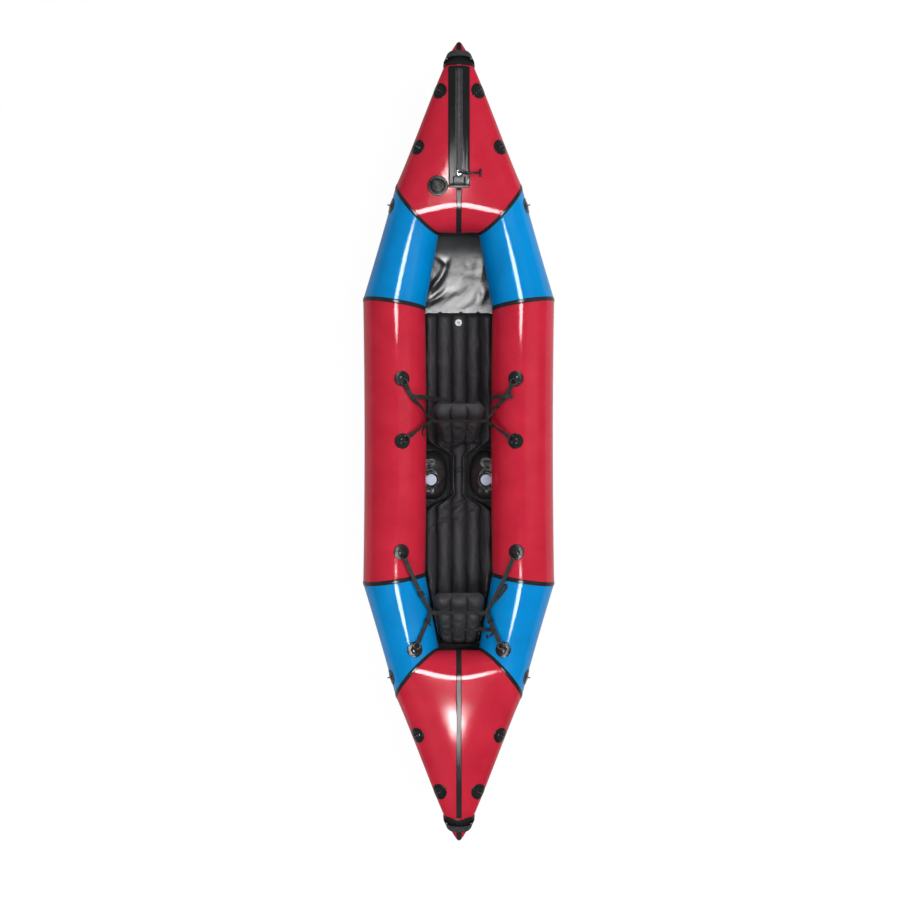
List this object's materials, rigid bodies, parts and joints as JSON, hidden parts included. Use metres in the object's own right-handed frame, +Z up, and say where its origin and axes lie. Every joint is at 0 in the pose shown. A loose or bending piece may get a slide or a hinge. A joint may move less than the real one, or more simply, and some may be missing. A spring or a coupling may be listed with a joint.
{
  "type": "packraft",
  "caption": "Long pointed inflatable packraft for two, with a cargo zipper, a chambered floor mat, strapped backrests, lashing patches and grab handles.",
  "frame": {"origin": "middle of the floor's underside, which the boat stands on", "axes": "+Y from stern to bow, +X to starboard, +Z up"},
  "size_m": [0.905, 3.658, 0.3771],
  "materials": {
    "hull_red": "coated, glossy",
    "hull_blue": "coated, glossy",
    "floor_fabric": "coated, satin",
    "black_patch": "coated, satin",
    "pad_fabric": "matte",
    "webbing": "woven",
    "zip_rubber": "satin",
    "bright_metal": "polished",
    "black_plastic": "satin",
    "white_plastic": "satin"
  },
  "bodies": {
    "boat": {"bow_cone": "hull_red", "stern_cone": "hull_red", "starboard_side_tube": "hull_red", "port_side_tube": "hull_red", "starboard_bow_shoulder": "hull_blue", "starboard_stern_shoulder": "hull_blue", "port_bow_shoulder": "hull_blue", "port_stern_shoulder": "hull_blue", "floor_sheet": "floor_fabric", "bow_centre_tape": "black_patch", "stern_centre_tape": "black_patch", "zip_backing": "black_patch", "zip_chain": "zip_rubber", "zip_dock": "zip_rubber", "main_valve_base": "black_plastic", "mat": "pad_fabric", "mat_valve_base": "black_plastic", "front_belt": "webbing", "rear_belt": "webbing", "front_buckle": "black_plastic", "rear_buckle": "black_plastic", "bow_grab_handle": "black_patch", "stern_grab_handle": "black_patch", "starboard_brace_cushion": "pad_fabric", "starboard_brace_valve": "black_plastic", "starboard_front_stay": "webbing", "starboard_rear_stay": "webbing", "starboard_seat_anchor_1": "black_patch", "starboard_seat_anchor_2": "black_patch", "starboard_seat_anchor_3": "black_patch", "starboard_seat_anchor_4": "black_patch", "starboard_bow_tie_down_1": "black_patch", "starboard_bow_tie_down_2": "black_patch", "starboard_bow_tie_down_3": "black_patch", "starboard_stern_tie_down_1": "black_patch", "starboard_stern_tie_down_2": "black_patch", "starboard_stern_tie_down_3": "black_patch", "port_brace_cushion": "pad_fabric", "port_brace_valve": "black_plastic", "port_front_stay": "webbing", "port_rear_stay": "webbing", "port_seat_anchor_1": "black_patch", "port_seat_anchor_2": "black_patch", "port_seat_anchor_3": "black_patch", "port_seat_anchor_4": "black_patch", "port_bow_tie_down_1": "black_patch", "port_bow_tie_down_2": "black_patch", "port_bow_tie_down_3": "black_patch", "port_stern_tie_down_1": "black_patch", "port_stern_tie_down_2": "black_patch", "port_stern_tie_down_3": "black_patch"},
    "slider": {"zip_slider": "bright_metal"},
    "pull": {"zip_pull": "black_plastic"},
    "main_cap": {"main_valve_cap": "black_plastic"},
    "mat_cap": {"mat_valve_cap": "black_plastic"},
    "starboard_cap": {"starboard_brace_cap": "white_plastic"},
    "port_cap": {"port_brace_cap": "white_plastic"},
    "front_rest": {"front_backrest": "pad_fabric"},
    "rear_rest": {"rear_backrest": "pad_fabric"}
  },
  "joints": [
    {"name": "zip_travel", "type": "slide", "parent": "boat", "child": "slider", "axis": [0, 0.9992, 0.04], "range_m": [0, 0.448]},
    {"name": "pull_swing", "type": "hinge", "parent": "slider", "child": "pull", "pos_m": [0, 1.23, 0.34908], "axis": [0, -0.9992, -0.04], "range_deg": [0, 180]},
    {"name": "main_cap_turn", "type": "hinge", "parent": "boat", "child": "main_cap", "pos_m": [-0.097, 1.172, 0.33116], "axis": [0, 0, 1], "range_deg": [0, 180]},
    {"name": "mat_cap_turn", "type": "hinge", "parent": "boat", "child": "mat_cap", "pos_m": [0, 0.574, 0.05741], "axis": [0, 0, 1], "range_deg": [0, 180]},
    {"name": "starboard_cap_turn", "type": "hinge", "parent": "boat", "child": "starboard_cap", "pos_m": [0.132, -0.183, 0.0826], "axis": [0, 0, 1], "range_deg": [0, 180]},
    {"name": "port_cap_turn", "type": "hinge", "parent": "boat", "child": "port_cap", "pos_m": [-0.132, -0.183, 0.0826], "axis": [0, 0, 1], "range_deg": [0, 180]},
    {"name": "front_rest_fold", "type": "hinge", "parent": "boat", "child": "front_rest", "pos_m": [0, 0.007, 0.0665], "axis": [1, 0, 0], "range_deg": [0, 45], "deforming": ["front_belt", "starboard_front_stay", "port_front_stay"]},
    {"name": "rear_rest_fold", "type": "hinge", "parent": "boat", "child": "rear_rest", "pos_m": [0, -0.955, 0.108], "axis": [1, 0, 0], "range_deg": [0, 38], "deforming": ["rear_belt", "starboard_rear_stay", "port_rear_stay"]}
  ]
}
